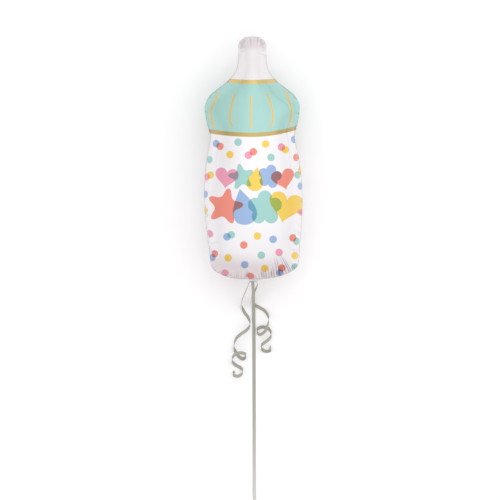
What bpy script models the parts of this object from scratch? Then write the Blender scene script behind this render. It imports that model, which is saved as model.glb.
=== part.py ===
"""A baby bottle foil balloon lying on its back, with a tether ribbon and two curled ribbon tails.

Metres, +Z up. The nipple points to +Y and the ribbons run to -Y. Below, y is measured from the bottom edge
of the balloon and z from the surface that it lies on, and one empty moves all of it so that the origin is
under the middle of the balloon.
"""

import math

import bmesh
import bpy
import numpy as np
from mathutils import Vector

# The balloon's own sizes
BALLOON_LENGTH = 0.787
BODY_WIDTH = 0.317
BODY_DEPTH = 0.264
SEAM_WIDTH = 0.004
SEAM_THICKNESS = 0.0008
REST_FLAT_DEPTH = 0.002
BOTTOM_SAG = 0.027
BOTTOM_SAG_FADE = 0.16
TIP_RISE = 0.0107
TIP_RISE_FADE = 0.05
BOTTOM_END_ROUND = 0.045
TIP_END_ROUND = 0.036

# Half widths of the outline, as shares of the body's, at heights that are shares of the length
SIDES = (
    (0.034, 0.776), (0.056, 0.878), (0.082, 0.904), (0.140, 0.931), (0.247, 0.984), (0.329, 1.000),
    (0.411, 0.990), (0.514, 0.933), (0.582, 0.861), (0.627, 0.904), (0.676, 0.957), (0.713, 0.959),
    (0.750, 0.890), (0.779, 0.739), (0.810, 0.535), (0.847, 0.367), (0.882, 0.306), (0.927, 0.284),
    (0.960, 0.280), (0.977, 0.253), (0.986, 0.214),
)

# Half depths of the inflated foil, as shares of the body's, before both ends round off to the seam
DEPTHS = (
    (0.000, 0.600), (0.050, 0.660), (0.100, 0.745), (0.200, 0.900), (0.300, 0.976), (0.400, 1.000),
    (0.500, 0.985), (0.600, 0.920), (0.700, 0.812), (0.760, 0.720), (0.820, 0.545), (0.860, 0.400),
    (0.900, 0.325), (0.950, 0.300), (1.000, 0.290),
)

# Puckers that the two end seams draw into the foil
PUCKERS = 15
PUCKER_SLOPE = 0.18
PUCKER_REACH = 0.075

COLUMNS = 2 * PUCKERS
ROWS = 41

# Filling tail, a flat tab of the two films that droops from the bottom seam
TAIL_WIDTH = 0.024
TAIL_NECK_WIDTH = 0.0060
TAIL_THICKNESS = 0.0012
TAIL_BEND = 0.0045
TAIL_DROP = 0.046
TAIL_ROOT = 0.010
TAIL_PINCH = 0.0065
TAIL_COLUMNS = 4
TAIL_ROWS = 18

# Ribbons
RIBBON_WIDTH = 0.010
RIBBON_THICKNESS = 0.0006
CURL_STEP = 0.006
TETHER_STEP = 0.010
CURL_TURN = 0.035
GAP = 0.0004

# Knot round the tail, and the knot and loop at the tether's far end
KNOT_DROP = 0.018
KNOT_RING_RADIUS = 0.0058
KNOT_CORD_RADIUS = 0.0018
KNOT_FLATNESS = 0.58
LOOP_KNOT_LENGTH = 0.014
LOOP_KNOT_WIDTH = 0.012
LOOP_LENGTH = 0.088
LOOP_WIDTH = 0.044
LOOP_MOUTH = 0.0050
TETHER_END = -0.735
TETHER_TWIST = 0.040

SEAM_HEIGHT = BODY_DEPTH / 2 - REST_FLAT_DEPTH
MIDDLE = (BALLOON_LENGTH - TAIL_BEND - TAIL_THICKNESS / 2) / 2
KNOT_HEIGHT = SEAM_HEIGHT - KNOT_DROP
LIE_HEIGHT = RIBBON_THICKNESS / 2 + GAP

# Routes of the ribbons, in millimetres, each point chosen by hand: x, y, and height over the floor
TETHER_ROUTE = (
    (1.5, -10, 112), (2.2, -20, 111.5), (3.0, -32, 108), (3.5, -45, 99), (3.8, -56, 82), (4.0, -65, 61),
    (4.2, -74, 41), (4.4, -83, 24), (4.6, -95, 10.5), (4.8, -110, 3.2), (5.0, -128, 0.7), (5.2, -150, 0.7),
    (5.5, -220, 0.7), (5.8, -320, 0.7), (6.1, -440, 0.7), (6.3, -560, 0.7), (6.5, -660, 0.7), (6.5, -735, 0.7),
)
LEFT_TAIL_ROUTE = (
    (-8.6, -5.5, 112), (-17.0, -27, 94), (-27.0, -50, 60), (-34.5, -73.8, 25), (-33.5, -88.3, 9.5),
    (-23.9, -109, 1.2), (-13.6, -124, 4), (-7.6, -140.4, 13), (-10.7, -155.3, 24), (-23.9, -168.3, 32.5),
    (-40.5, -179.6, 34), (-52.7, -192.5, 27), (-59.2, -209.4, 16), (-58.2, -224.3, 6.5), (-51.8, -238.8, 1.4),
    (-42.4, -252.1, 1.0), (-30.4, -258.6, 4), (-22, -252, 12), (-22, -242.7, 22), (-35, -238.2, 31),
    (-51.8, -240.8, 33), (-62.8, -251.1, 27), (-65.7, -259.5, 19), (-63.8, -268.6, 10), (-52.7, -278.9, 2.2),
    (-40.5, -285.4, 1.4), (-33, -292.9, 6), (-31.7, -300.3, 13), (-35.9, -308.7, 20), (-47.9, -314.2, 26),
    (-60.2, -310.7, 24), (-62.8, -303.9, 17), (-57.3, -299.3, 12),
)
RIGHT_TAIL_ROUTE = (
    (8.6, -5.0, 112), (15.5, -9, 108), (15.2, -21, 97), (8.7, -35, 76), (0, -51.1, 50), (-2.3, -64, 27),
    (2.9, -76, 10),
    (10.7, -83.8, 3.2), (24.6, -91.9, 1.0), (38.8, -100.6, 4), (49.2, -113.9, 12), (53.7, -127.8, 20),
    (51.8, -141.7, 27), (47.6, -154, 32), (42.4, -166.3, 34), (31.7, -176, 33), (22, -178.6, 27),
    (15.2, -169.9, 19), (16.8, -161.2, 11), (28.2, -155, 3.2), (42.4, -155, 1.0), (52.7, -159.5, 4),
    (59.9, -169.9, 12), (61.8, -177, 17), (59.9, -185.7, 22), (51.1, -196.4, 28), (38.8, -205.2, 29),
    (30.7, -212.9, 23), (29.1, -220, 15), (32.7, -227.8, 6), (44, -234, 1.0), (56.3, -231.4, 4),
    (60.5, -224.2, 12), (56.3, -218.1, 18),
)


def clear_scene():
    for obj in list(bpy.data.objects):
        bpy.data.objects.remove(obj)


def new_collection(name, shown=True):
    collection = bpy.data.collections.new(name)
    collection.hide_render = not shown
    bpy.context.scene.collection.children.link(collection)
    return collection


def new_material(name, colour, roughness, metallic):
    material = bpy.data.materials.new(name)
    material.use_nodes = True
    shader = material.node_tree.nodes["Principled BSDF"]
    shader.inputs["Base Color"].default_value = (*colour, 1.0)
    shader.inputs["Roughness"].default_value = roughness
    shader.inputs["Metallic"].default_value = metallic
    return material


def add_object(name, bm, collection, material=None, parent=None):
    """Turns a bmesh into a smooth-shaded object."""
    bmesh.ops.recalc_face_normals(bm, faces=bm.faces)
    mesh = bpy.data.meshes.new(name)
    bm.to_mesh(mesh)
    bm.free()
    mesh.shade_smooth()
    mesh.set_sharp_from_angle(angle=math.radians(50))
    obj = bpy.data.objects.new(name, mesh)
    collection.objects.link(obj)
    if material is not None:
        mesh.materials.append(material)
    obj.parent = parent
    return obj


def as_helper(obj):
    obj.hide_render = True
    obj.display_type = "WIRE"
    return obj


def curve_through(table, at):
    """The smooth curve through a table of (place, value), read at that place."""
    places, values = np.array(table, float).T
    slopes = np.gradient(values, places)
    k = int(np.clip(np.searchsorted(places, at) - 1, 0, len(places) - 2))
    span = places[k + 1] - places[k]
    t = float(np.clip((at - places[k]) / span, 0, 1))
    return (
        values[k] * (2 * t**3 - 3 * t**2 + 1)
        + values[k + 1] * (3 * t**2 - 2 * t**3)
        + slopes[k] * span * (t**3 - 2 * t**2 + t)
        + slopes[k + 1] * span * (t**3 - t**2)
    )


def end_round(distance, length):
    """Rises from 0 at an end seam to 1, as a quarter of an ellipse."""
    t = min(max(distance / length, 0.0), 1.0)
    return math.sqrt(1 - (1 - t) ** 2)


def pucker(across, distance, half_width):
    """Depth of the gathers at a place across an end seam, fading with distance from it."""
    fade = max(0.0, 1 - distance / PUCKER_REACH)
    pitch = 2 * half_width / PUCKERS
    return PUCKER_SLOPE * pitch * fade * math.cos(math.pi * PUCKERS * (across + 1))


def foil_point(across, along):
    """A point of the upper film: across and along run from -1 to 1, and the seam is at every end."""
    share = 0.5 + 0.5 * (0.5 * along + 0.5 * math.sin(0.5 * math.pi * along))
    first, last = SIDES[0][0], SIDES[-1][0]
    height = (first + share * (last - first)) * BALLOON_LENGTH
    turn = 0.5 * math.pi * across
    half_width = curve_through(SIDES, height / BALLOON_LENGTH) * BODY_WIDTH / 2 - SEAM_WIDTH
    above_bottom = height - first * BALLOON_LENGTH
    below_tip = last * BALLOON_LENGTH - height
    sag = BOTTOM_SAG * max(0.0, 1 - above_bottom / BOTTOM_SAG_FADE) ** 2
    rise = TIP_RISE * max(0.0, 1 - below_tip / TIP_RISE_FADE) ** 2
    middle_y = height - sag + rise
    half_depth = curve_through(DEPTHS, middle_y / BALLOON_LENGTH) * BODY_DEPTH / 2
    from_tip = BALLOON_LENGTH - middle_y
    half_depth *= end_round(middle_y, BOTTOM_END_ROUND) * end_round(from_tip, TIP_END_ROUND)
    x = half_width * math.sin(turn)
    y = height + (rise - sag) * math.cos(turn) ** 2
    inset = SEAM_WIDTH * (2 * (share < 0.5) - 1) * (abs(along) ** 40)
    gather = pucker(across, min(middle_y, from_tip), half_width) * math.cos(turn)
    z = max(half_depth * math.cos(turn) + gather, 0.0)
    return Vector((x, y + inset, z + SEAM_THICKNESS / 2))


def outward(vert, middle):
    """The way out of the outline at a vertex of its edge, level with the seam."""
    ends = [edge.other_vert(vert).co for edge in vert.link_edges if edge.is_boundary]
    along = ends[1] - ends[0]
    normal = Vector((along.y, -along.x, 0)).normalized()
    return normal if normal.dot(vert.co - middle) > 0 else -normal


def upper_film():
    """The upper half of the sealed foil, down to the middle of the seam's edge."""
    bm = bmesh.new()
    bmesh.ops.create_grid(bm, x_segments=COLUMNS, y_segments=ROWS, size=1)
    for vert in bm.verts:
        vert.co = foil_point(vert.co.x, vert.co.y)
    middle = Vector((0, BALLOON_LENGTH / 2, 0))
    ways = {vert: outward(vert, middle) for vert in bm.verts if vert.is_boundary}
    rim = bmesh.ops.extrude_edge_only(bm, edges=[edge for edge in bm.edges if edge.is_boundary])
    outer = [item for item in rim["geom"] if isinstance(item, bmesh.types.BMVert)]
    for vert in outer:
        inner = next(e.other_vert(vert) for e in vert.link_edges if e.other_vert(vert) in ways)
        vert.co += ways[inner] * SEAM_WIDTH
        vert.co.z = SEAM_THICKNESS / 2
    edge = bmesh.ops.extrude_edge_only(bm, edges=[e for e in bm.edges if e.is_boundary])
    for vert in edge["geom"]:
        if isinstance(vert, bmesh.types.BMVert):
            vert.co.z = 0.0
    return bm


def tail_centre(share):
    """The tail's middle line: out of the bottom seam, round a soft bend, and down."""
    arc = TAIL_BEND * math.pi / 2
    way = share * (TAIL_ROOT + arc + TAIL_DROP - TAIL_BEND)
    if way < TAIL_ROOT:
        return Vector((0, TAIL_ROOT - way, 0))
    if way < TAIL_ROOT + arc:
        turn = (way - TAIL_ROOT) / TAIL_BEND
        return Vector((0, -TAIL_BEND * math.sin(turn), TAIL_BEND * (math.cos(turn) - 1)))
    return Vector((0, -TAIL_BEND, -TAIL_BEND - (way - TAIL_ROOT - arc)))


def tail_half_width(drop):
    """Half the tail's width, drawn in where the knot holds it."""
    pinch = math.exp(-(((drop + KNOT_DROP) / TAIL_PINCH) ** 2))
    return TAIL_WIDTH / 2 + (TAIL_NECK_WIDTH - TAIL_WIDTH) / 2 * pinch


def filling_tail(collection, parent):
    bm = bmesh.new()
    bmesh.ops.create_grid(bm, x_segments=TAIL_COLUMNS, y_segments=TAIL_ROWS, size=1)
    for vert in bm.verts:
        across, share = vert.co.x, (1 - vert.co.y) / 2
        centre = tail_centre(share)
        vert.co = centre + Vector((across * tail_half_width(centre.z), 0, 0))
    tail = as_helper(add_object("tail_film", bm, collection, parent=parent))
    thicken(tail, TAIL_THICKNESS)
    return tail


def thicken(obj, thickness):
    solidify = obj.modifiers.new("thickness", "SOLIDIFY")
    solidify.thickness = thickness
    solidify.offset = 0
    return solidify


def floor_cutter(collection, parent):
    """A block under the surface that the balloon lies on, which presses its back flat."""
    bm = bmesh.new()
    bmesh.ops.create_cube(bm, size=1)
    bmesh.ops.scale(bm, vec=(2 * BODY_WIDTH, 2 * BALLOON_LENGTH, BODY_DEPTH), verts=bm.verts)
    cutter = as_helper(add_object("floor_block", bm, collection, parent=parent))
    cutter.location = (0, BALLOON_LENGTH / 2, -BODY_DEPTH / 2 - SEAM_HEIGHT)
    return cutter


def join_or_cut(obj, other, operation):
    boolean = obj.modifiers.new(operation.lower(), "BOOLEAN")
    boolean.operation = operation
    boolean.object = other


def foil_balloon(parts, helpers, parent, material):
    """The sealed foil envelope: two films welded at a flat seam, with the filling tail in one piece."""
    seam = bpy.data.objects.new("seam_level", None)
    seam.location = (0, 0, SEAM_HEIGHT)
    seam.parent = parent
    helpers.objects.link(seam)
    balloon = add_object("foil_balloon", upper_film(), parts, material, seam)
    mirror = balloon.modifiers.new("lower_film", "MIRROR")
    mirror.use_axis = (False, False, True)
    mirror.merge_threshold = 0.00001
    join_or_cut(balloon, filling_tail(helpers, seam), "UNION")
    join_or_cut(balloon, floor_cutter(helpers, seam), "DIFFERENCE")


def smooth_route(points, step):
    """Points spaced evenly along the smooth curve through a route's own points, in metres."""
    p = np.array(points, float) / 1000
    p = np.vstack([2 * p[0] - p[1], p, 2 * p[-1] - p[-2]])
    t = np.linspace(0, 1, 16, endpoint=False)[:, None]
    pieces = [
        b + 0.5 * t * (c - a + t * (2 * a - 5 * b + 4 * c - d + t * (3 * (b - c) + d - a)))
        for a, b, c, d in zip(p[:-3], p[1:-2], p[2:-1], p[3:])
    ]
    fine = np.vstack([*pieces, p[-2:-1]])
    along = np.concatenate([[0], np.cumsum(np.linalg.norm(np.diff(fine, axis=0), axis=1))])
    even = np.linspace(0, along[-1], round(along[-1] / step) + 1)
    return [Vector([np.interp(s, along, fine[:, k]) for k in range(3)]) for s in even]


def ribbon_band(name, route, across, parts, parent, material):
    """A flat ribbon along a route, with its width along across(point number, direction of travel)."""
    bm = bmesh.new()
    bmesh.ops.create_grid(bm, x_segments=1, y_segments=len(route) - 1, size=1)
    last = len(route) - 1
    ways = [(route[min(k + 1, last)] - route[max(k - 1, 0)]).normalized() for k in range(last + 1)]
    for vert in bm.verts:
        k = round((vert.co.y + 1) / 2 * last)
        vert.co = route[k] + across(k, ways[k]) * math.copysign(RIBBON_WIDTH / 2, vert.co.x)
    band = add_object(name, bm, parts, material, parent)
    thicken(band, RIBBON_THICKNESS)
    return band


def curled_ribbon(name, points, parts, parent, material):
    """A tail leaves the knot on edge, then its width keeps to the axis that it curls round, along Y."""
    route = smooth_route(points, CURL_STEP)

    def across(k, way):
        share = min(k * CURL_STEP / CURL_TURN, 1.0)
        axis = Vector((0, share, 1 - share))
        return (axis - way * way.dot(axis)).normalized()

    return ribbon_band(name, route, across, parts, parent, material)


def tether_ribbon(parts, parent, material):
    """The tether falls to the floor, lies flat along it, and turns on edge into the loop's knot."""
    route = smooth_route(TETHER_ROUTE, TETHER_STEP)
    turned = []
    for point in route:
        share = min(max((TETHER_END + TETHER_TWIST - point.y) / TETHER_TWIST, 0.0), 1.0)
        turned.append(0.5 * math.pi * share * share * (3 - 2 * share))
        point.z = max(point.z, LIE_HEIGHT) + RIBBON_WIDTH / 2 * math.sin(turned[-1])

    def across(k, way):
        level = Vector((0, 0, 1)).cross(way).normalized()
        return level * math.cos(turned[k]) + way.cross(level) * math.sin(turned[k])

    return ribbon_band("tether_ribbon", route, across, parts, parent, material)


def tail_knot(parts, parent, material):
    """The ribbon wound round the gathered filling tail, as a flattened ring with the tail through it."""
    bpy.ops.mesh.primitive_torus_add(
        major_radius=KNOT_RING_RADIUS,
        minor_radius=KNOT_CORD_RADIUS,
        major_segments=20,
        minor_segments=8,
        location=(0, -TAIL_BEND, KNOT_HEIGHT),
    )
    knot = bpy.context.object
    knot.name = "tail_knot"
    knot.scale.y = KNOT_FLATNESS
    knot.data.materials.append(material)
    knot.data.shade_smooth()
    for collection in list(knot.users_collection):
        collection.objects.unlink(knot)
    parts.objects.link(knot)
    knot.parent = parent


def loop_knot(parts, parent, material, x):
    bm = bmesh.new()
    bmesh.ops.create_uvsphere(bm, u_segments=16, v_segments=10, radius=0.5)
    height = RIBBON_WIDTH + 2 * GAP
    bmesh.ops.scale(bm, vec=(LOOP_KNOT_WIDTH, LOOP_KNOT_LENGTH, height), verts=bm.verts)
    knot = add_object("loop_knot", bm, parts, material, parent)
    knot.location = (x, TETHER_END - GAP - LOOP_KNOT_LENGTH / 2, height / 2 + GAP)
    return knot


def hand_loop(parts, parent, material, x):
    """The tether's end, brought round in a teardrop that stands on its edge."""
    start = TETHER_END - GAP - LOOP_KNOT_LENGTH
    route = []
    for k in range(45):
        turn = 2 * math.pi * k / 44
        y = start - GAP - LOOP_LENGTH * (0.5 - 0.5 * math.cos(turn))
        mouth = LOOP_MOUTH / 2 * math.copysign(1, math.pi - turn) * abs(math.cos(turn / 2))
        side = LOOP_WIDTH / 2 * math.sin(turn) * math.sin(turn / 2) ** 1.2 * 1.18
        route.append(Vector((x + side + mouth, y, RIBBON_WIDTH / 2 + GAP)))
    return ribbon_band("hand_loop", route, lambda k, way: Vector((0, 0, 1)), parts, parent, material)


def main():
    clear_scene()
    parts = new_collection("baby_bottle_balloon")
    helpers = new_collection("cutters_and_guides", shown=False)
    origin = bpy.data.objects.new("balloon_origin", None)
    origin.location = (0, -MIDDLE, 0)
    helpers.objects.link(origin)
    foil = new_material("printed_foil", (0.90, 0.89, 0.89), 0.28, 0.35)
    ribbon = new_material("curling_ribbon", (0.38, 0.37, 0.31), 0.35, 0.0)
    foil_balloon(parts, helpers, origin, foil)
    tail_knot(parts, origin, ribbon)
    tether_ribbon(parts, origin, ribbon)
    tails = (("curled_ribbon_left", LEFT_TAIL_ROUTE), ("curled_ribbon_right", RIGHT_TAIL_ROUTE))
    for name, points in tails:
        curled_ribbon(name, points, parts, origin, ribbon)
    far_x = TETHER_ROUTE[-1][0] / 1000
    loop_knot(parts, origin, ribbon, far_x)
    hand_loop(parts, origin, ribbon, far_x)


main()
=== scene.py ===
"""Looks of the baby bottle foil balloon: printed film, welded seam, curled ribbons, knots and stage.

The film is two flat sheets welded at the rim, which a small solver blows up until they are taut. Each ink is
a distance kept at the film's points, and ends where that is zero. Lengths are in metres unless a name says
otherwise.
"""

import math
from types import SimpleNamespace

import bmesh
import bpy
import numpy as np
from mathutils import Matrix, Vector
from mathutils.geometry import delaunay_2d_cdt


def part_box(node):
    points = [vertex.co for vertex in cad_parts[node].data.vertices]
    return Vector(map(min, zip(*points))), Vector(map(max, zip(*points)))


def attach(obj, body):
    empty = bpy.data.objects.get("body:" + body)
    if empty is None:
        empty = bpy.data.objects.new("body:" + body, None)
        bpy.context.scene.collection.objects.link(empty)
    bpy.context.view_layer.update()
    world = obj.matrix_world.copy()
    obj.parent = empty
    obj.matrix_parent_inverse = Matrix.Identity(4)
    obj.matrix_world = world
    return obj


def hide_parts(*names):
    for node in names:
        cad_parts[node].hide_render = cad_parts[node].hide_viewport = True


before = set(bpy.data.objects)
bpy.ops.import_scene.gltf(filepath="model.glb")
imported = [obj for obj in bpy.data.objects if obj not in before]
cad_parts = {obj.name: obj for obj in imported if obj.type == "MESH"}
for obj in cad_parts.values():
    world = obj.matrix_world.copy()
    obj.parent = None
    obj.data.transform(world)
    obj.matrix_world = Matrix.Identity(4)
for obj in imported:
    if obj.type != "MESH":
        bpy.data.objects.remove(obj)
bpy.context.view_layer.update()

# Frame: the balloon's box, and the heights that its parts keep
LOW, HIGH = (Vector(corner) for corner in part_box("foil_balloon"))
LENGTH = 0.787
TIP_Y = HIGH.y
BOTTOM_Y = TIP_Y - LENGTH
REST_FLAT_DEPTH = 0.002
SEAM_Z = (HIGH.z - REST_FLAT_DEPTH) / 2
FILM_LOW_Z = LOW.z + 0.0003

# Photograph: 500 pixels square, the balloon seen from straight ahead
FRAME_PX = 500
MIDDLE_PX = 252.3
BOTTOM_PX = 279.7
TOP_PX = 36.5
PX = LENGTH / (BOTTOM_PX - TOP_PX)
CAMERA_DISTANCE = 24.0
CAMERA_REACH = 40
SENSOR_MM = 36

# Film: its seam, the size of its triangles, and how it starts off
SEAM_WIDTH = 0.0018
SEAM_THICKNESS = 0.0005
OUTLINE_STEPS = 24
COARSE_STEP = 0.014
RIM_CLEARANCE = 0.6
SAME_POINT = 1e-7
START_WIDTH = 0.71
START_LENGTH = 0.893
PUFF = 0.2

# Inflation: passes, pressure, stiffness, and how the seam is drawn to the photograph's outline
COARSE_PASSES = 1300
MIDDLE_PASSES = 500
FINE_PASSES = 280
PRESSURE = 2.0e-5
SLACK_STIFFNESS = 0.05
BEND_STIFFNESS = 0.03
DAMPING = 0.9
GROUP_ROUNDS = 4
GUIDE_STEP = 0.002
GUIDE_EVERY = 5
GUIDE_SHARE = 0.5
GUIDE_SETTLE = 0.1
MIRROR_EVERY = 20
MIRROR_ROUNDING = 1e5
TINY = 1e-12

# Half of the flat cut, in millimetres from the middle and up from the bottom edge
CUT_MM = (
    (0, -14), (92, 2), (138, 20), (162, 38), (177, 60), (187, 90), (204, 140), (221, 215), (229, 285),
    (227, 350), (216, 430), (204, 492), (199, 525), (203, 560), (204, 594), (197, 627), (175, 658),
    (146, 688), (117, 715), (92, 741), (75, 768), (66, 794), (63, 815), (55, 832), (36, 845), (0, 850),
)

# Half of the outline in the photograph, in pixels from the middle line and down the picture
OUTLINE_PX = (
    (0, 279.7), (20, 278), (32, 274.5), (39.5, 270.3), (43, 266), (44.3, 260), (45.6, 246), (48.2, 220),
    (49, 200), (48.5, 180), (45.7, 155), (42.2, 138), (44.3, 127), (46.9, 115), (47, 106), (43.5, 97),
    (36, 90), (26, 82.5), (18, 73.5), (15, 65), (13.9, 54), (13.6, 46), (11.5, 40.5), (6.5, 37.2), (0, 36.5),
)

# The body leans to the right below the cap: pixels across at the bottom, where it starts, and how it grows
LEAN_PX = 3.0
LEAN_START_PX = 125
LEAN_POWER = 1.4

# Colours of 0 to 255, and how many inks may lie over each other
INKS = {
    "blue": (163, 194, 232),
    "yellow": (254, 218, 98),
    "coral": (250, 152, 132),
    "mint": (168, 220, 211),
    "pink": (249, 168, 191),
}
INK_LAYERS = 3
CAP_MINT = (164, 208, 200)
UPPER_GOLD = (217, 193, 127)
LOWER_GOLD = (190, 167, 107)
STROKE_GOLD = (226, 190, 112)
PEARL = (238, 236, 238)
NIPPLE = (234, 231, 232)
FILM_SHADE = (212, 204, 212)
# Colour of the painted shade in the valleys of the puckers and the creases
VALLEY_SHADE = (178, 166, 174)
# Colour of the painted shade towards the bottom edge and the tip
PAINTED_SHADE = (237, 228, 228)
RIBBON_SAGE = (174, 173, 159)
RIBBON_DARK = (155, 153, 140)
RIBBON_PALE = (208, 208, 199)

# Dots: the radius of each, and its pixel in the photograph and its ink
DOT_RADIUS = 0.0123
DOTS_PX = {
    "blue": ((215.9, 143.6), (293.5, 139.6), (300.6, 186.1), (205.2, 194.1), (226.9, 236.8),
        (273.2, 239.3), (212.2, 257.5), (244.5, 264.7), (279.6, 272.4)),
    "coral": ((220.1, 146.3), (253.2, 151.8), (296.3, 157.5), (293, 237.7), (243.8, 245.1), (215, 253.5),
        (281.9, 268), (250.5, 276.2)),
    "mint": ((238.1, 142.2), (270.9, 157.4), (209.3, 159.7), (297.4, 175), (231.3, 234.9), (296.8, 241.4),
        (261.2, 255.2), (294.8, 267)),
    "yellow": ((265.5, 144), (285.4, 149.8), (230, 154.7), (210.6, 175), (300.6, 170.7), (205.6, 210.4),
        (257.3, 236), (228.1, 257.9), (294.9, 255.7), (264.5, 268.3)),
    "pink": ((281.4, 147.1), (248.3, 155.2), (206.6, 176.9), (300.2, 212.2), (209.9, 233.7),
        (279.2, 252.4), (225.1, 272.8)),
}

# Shapes in the middle: kind, pixel, half size in pixels, turn in degrees, ink
SHAPE_POINTS = 72
SHAPE_REACH = 1.15
SHAPES_PX = (
    ("heart", 226.5, 178.0, 11.5, 8, "pink"), ("star", 241.5, 177.0, 13.0, -10, "mint"),
    ("drop", 255.5, 179.5, 12.0, 10, "yellow"), ("flower", 269.5, 176.5, 12.0, 12, "blue"),
    ("heart", 283.5, 179.5, 11.5, -14, "coral"), ("star", 225.0, 206.5, 18.0, 12, "coral"),
    ("drop", 244.0, 207.5, 18.0, -12, "blue"), ("flower", 265.0, 208.0, 17.5, 0, "mint"),
    ("heart", 285.5, 207.5, 17.0, 12, "yellow"),
)

# Gold strokes on the cap: three pixels on each, from the top down
STROKE_HALF_WIDTH = 0.0029
STROKE_POINTS = 20
STROKES_PX = (
    ((218.6, 93.8), (210.8, 112.9), (215.0, 126.3)), ((235.2, 94.6), (230.2, 113.0), (232.1, 125.9)),
    ((250.8, 96.0), (250.8, 112.0), (250.8, 127.7)), ((267.5, 94.4), (272.7, 113.0), (271.2, 125.7)),
    ((285.1, 91.2), (291.3, 110.0), (288.6, 124.4)),
)

# Gold bands: height of the middle line at the middle, how much it rises to each side, half width, in pixels
UPPER_BAND_PX = (81.9, 1.5, 1.5, 2.1)
LOWER_BAND_PX = (134.8, 3.4, 6.4, 2.1)
UPPER_BAND_SPAN_PX = 25
LOWER_BAND_SPAN_PX = 42

# Print: how much distance on the film counts beside distance in the picture, how far from an outline that is
# worked out, where triangles are finer, half of an ink's soft edge, and the points that give a pixel's place
FILM_WEIGHT = 0.09
NEAR_PRINT = 0.010
SHAPE_EDGE = 0.0012
INK_EDGE = 0.0004
NEIGHBOURS = 4
SAME_PLACE = 1e-5

# Painted shade, where the pearl film is darker towards the bottom edge and the tip: heights above the bottom
# edge, its slant, and rows at the tip
LOW_PAINTED_SHADE = (0.100, 0.018)
PAINTED_SHADE_SLANT = 0.15
TIP_PAINTED_SHADE_PX = (52, 46)
TIP_PAINTED_SHADE_SHARE = 0.55

# Puckers across the seam: their pitch and how it wanders (size, every), how valleys and reach vary (middle,
# size, every), the depth at which the valleys' painted shade is full, and how they rise at the seam and fade
PUCKER_PITCH = 0.0095
PITCH_WANDER = ((1.1, 3.7), (0.7, 5.3))
VALLEY_WIDTH = 0.0016
VALLEY_SWING = (0.75, 0.25, 2.3)
VALLEY_SHADE_DEPTH = 0.0016
REACH_SWING = (0.86, 0.14, 4.1)
PUCKER_START = 0.006
PUCKER_FADE = 1.5
PUCKER_ROUND = 0.3
RIM_STEP = 0.010
FOLD_SEARCH = 0.15

# Their depth and reach in each place, the corner's column and width in pixels, and the heights between which
# the rim becomes the bottom and the tip
SIDE_PUCKERS = (0.0001, 0.030)
TIP_PUCKERS = (0.0009, 0.070)
BOTTOM_PUCKERS = (0.0006, 0.080)
CORNER_PUCKERS = (0.0024, 0.160)
CORNER_PX = (283, 18)
BOTTOM_RIM = (0.060, 0.030)
TIP_RIM = (0.770, 0.800)

# Rounds of finer triangles: for puckers deeper than the first number, over the second's share of their reach
FINER_PUCKERS = ((0.0002, 0.62), (0.0012, 0.58))
BACK_PUCKER_REACH = 0.015

# Creases on the front: pixels along each, half width and depth in millimetres
CREASE_STEPS = 8
CREASE_SEARCH = 6
CREASE_RIDGE = (0.35, 2.2)
# How much painted shade a crease's groove gets at full depth
CREASE_SHADE = 0.35
CREASES_PX = (
    (((263.5, 79.5), (268, 86), (275, 95), (284, 101.5), (289, 107), (290, 116), (288, 127)), 3.0, 0.9),
    (((257.5, 79), (259.5, 83), (262, 90)), 2.2, 0.7),
    (((236.5, 79), (241, 84), (245, 90)), 2.0, 0.7),
    (((231, 84), (235, 90)), 2.0, 0.5),
    (((287.5, 124), (286.5, 131), (288.5, 142), (290, 160), (291, 185)), 2.6, 1.3),
    (((281, 133), (286, 131.5), (292, 129.5)), 1.8, 1.4),
    (((216, 137), (217.5, 150), (216, 170)), 3.0, 0.8),
    (((243, 50), (250, 50.5), (256, 51), (262, 54.5)), 2.6, 0.25),
    (((258.5, 40), (259, 55), (259.5, 77)), 1.8, 0.5),
    (((206.5, 246), (212, 243), (219, 242)), 3.0, 0.9),
    (((299, 243), (293, 240), (287, 239)), 3.4, 0.4),
    (((303, 113), (298, 113.3), (294, 113)), 2.4, 1.6),
    (((202, 112.5), (206, 112.8), (210, 112.5)), 2.4, 1.2),
)

# The film's finish: noises as scale and detail, and the grain's depth and strength
FILM_ROUGHNESS = 0.34
FILM_METALLIC = 0.35
GOLD_METALLIC = 0.5
STROKE_METALLIC_SHARE = 0.6
CLOUD_NOISE = (9.0, 2.0)
CLOUD_STEP = (0.25, 0.75)
CLOUD_SHARE = 0.05
GRAIN_NOISE = (90.0, 3.0)
GRAIN = (0.0004, 0.2)
TAIL_NOISE = (60.0, 2.0)

# The ribbons' finish
RIBBON_ROUGHNESS = 0.38
STREAK_LANES = (9.0, 4.0)
STREAK_NOISE = (2.2, 3.0)
SOFT_STEP = (0.3, 0.7)
RIB_BUMP = (0.00012, 0.6)

# Ribbons and the filling tail's tab
RIBBON_WIDTH = 0.010
RIBBON_THICKNESS = 0.0004
RIBBON_COLUMNS = 9
RIBBON_CROWN = 0.0003
RIBBON_RIBS = 7
ROUTE_STEPS = 16
CURL_STEP = 0.003
TETHER_STEP = 0.004
CURL_TURN = 0.050
CURL_TILT = 0.15
LEFT_ON_EDGE = 0.095
PALE_FROM = 0.34
PALE_TO = 0.80
KNOT_TURNS = 4
KNOT_STEPS = 36
KNOT_CLIMB = (0.10, 0.7)
KNOT_WOBBLE = (0.04, 1.9)
KNOT_SLANT = 0.12
KNOT_INSET = 0.0005
KNOT_SWELL = 0.10
KNOT_BAND = 0.0028
KNOT_DROP = 0.018
TAIL_WIDTH = 0.024
TAIL_NECK_WIDTH = 0.0060
TAIL_BEND = 0.0045
TAIL_DROP = 0.046
TAIL_ROOT = 0.006
TAIL_PINCH = 0.0065
TAIL_PLEAT = 0.0011
TAIL_PLEATS = 3
TAIL_ROWS = (8, 60)
TAIL_LANES = 49
TAIL_SPREAD = 0.022
TAIL_WAVE = (0.0012, 4, 1)
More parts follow.
